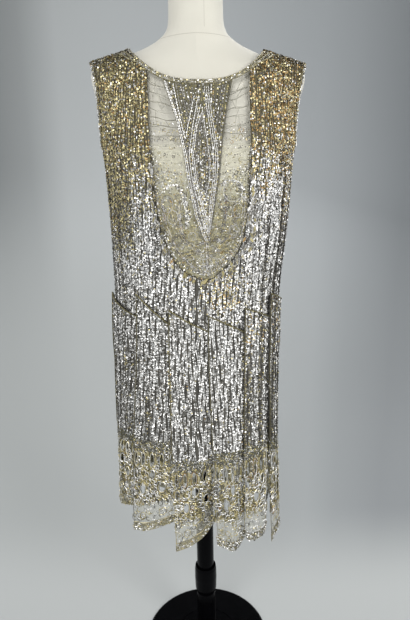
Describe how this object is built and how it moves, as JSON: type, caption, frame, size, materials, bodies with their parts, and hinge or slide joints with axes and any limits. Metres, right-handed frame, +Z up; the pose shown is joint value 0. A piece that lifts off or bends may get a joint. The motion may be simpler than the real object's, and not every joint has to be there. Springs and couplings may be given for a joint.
{
  "type": "flapper dress on a dress form",
  "caption": "Straight sleeveless beaded flapper dress with a U-shaped lace yoke and lapped hip panels that end in lace tabs, worn by a torso dress form on a round-based pole stand.",
  "frame": {"origin": "on the floor under the middle of the pole stand's base", "axes": "+Z up along the pole; -Y is the side with the lace yoke, called the front; +X is to its right as it is looked at"},
  "size_m": [0.4164, 0.306, 1.533],
  "materials": {
    "silver_sequins": "sequinned",
    "old_gold": "beaded metallic",
    "ecru_net": "metal lace on net",
    "form_cover": "matt jersey",
    "black_steel": "gloss"
  },
  "bodies": {
    "root": {"front_bodice": "silver_sequins", "back_bodice": "silver_sequins", "insert": "silver_sequins", "yoke": "ecru_net", "neck_band": "old_gold", "armhole_band_left": "old_gold", "armhole_band_right": "old_gold", "dress_form": "form_cover", "stand_base": "black_steel", "stand_socket": "black_steel", "stand_pole": "black_steel", "skirt_panel_01": "silver_sequins", "skirt_panel_02": "silver_sequins", "skirt_panel_03": "silver_sequins", "skirt_panel_04": "silver_sequins", "skirt_panel_05": "silver_sequins", "skirt_panel_06": "silver_sequins", "skirt_panel_07": "silver_sequins", "skirt_panel_08": "silver_sequins", "skirt_panel_09": "silver_sequins", "skirt_panel_10": "silver_sequins", "skirt_panel_11": "silver_sequins", "skirt_panel_12": "silver_sequins", "lace_tab_01": "ecru_net", "lace_tab_02": "ecru_net", "lace_tab_03": "ecru_net", "lace_tab_04": "ecru_net", "lace_tab_05": "ecru_net", "lace_tab_06": "ecru_net", "lace_tab_07": "ecru_net", "lace_tab_08": "ecru_net", "lace_tab_09": "ecru_net", "lace_tab_10": "ecru_net", "lace_tab_11": "ecru_net", "lace_tab_12": "ecru_net", "hem_border_01": "old_gold", "hem_border_02": "old_gold", "hem_border_03": "old_gold", "hem_border_04": "old_gold", "hem_border_05": "old_gold", "hem_border_06": "old_gold", "hem_border_07": "old_gold", "hem_border_08": "old_gold", "hem_border_09": "old_gold", "hem_border_10": "old_gold", "hem_border_11": "old_gold", "hem_border_12": "old_gold"}
  },
  "joints": []
}
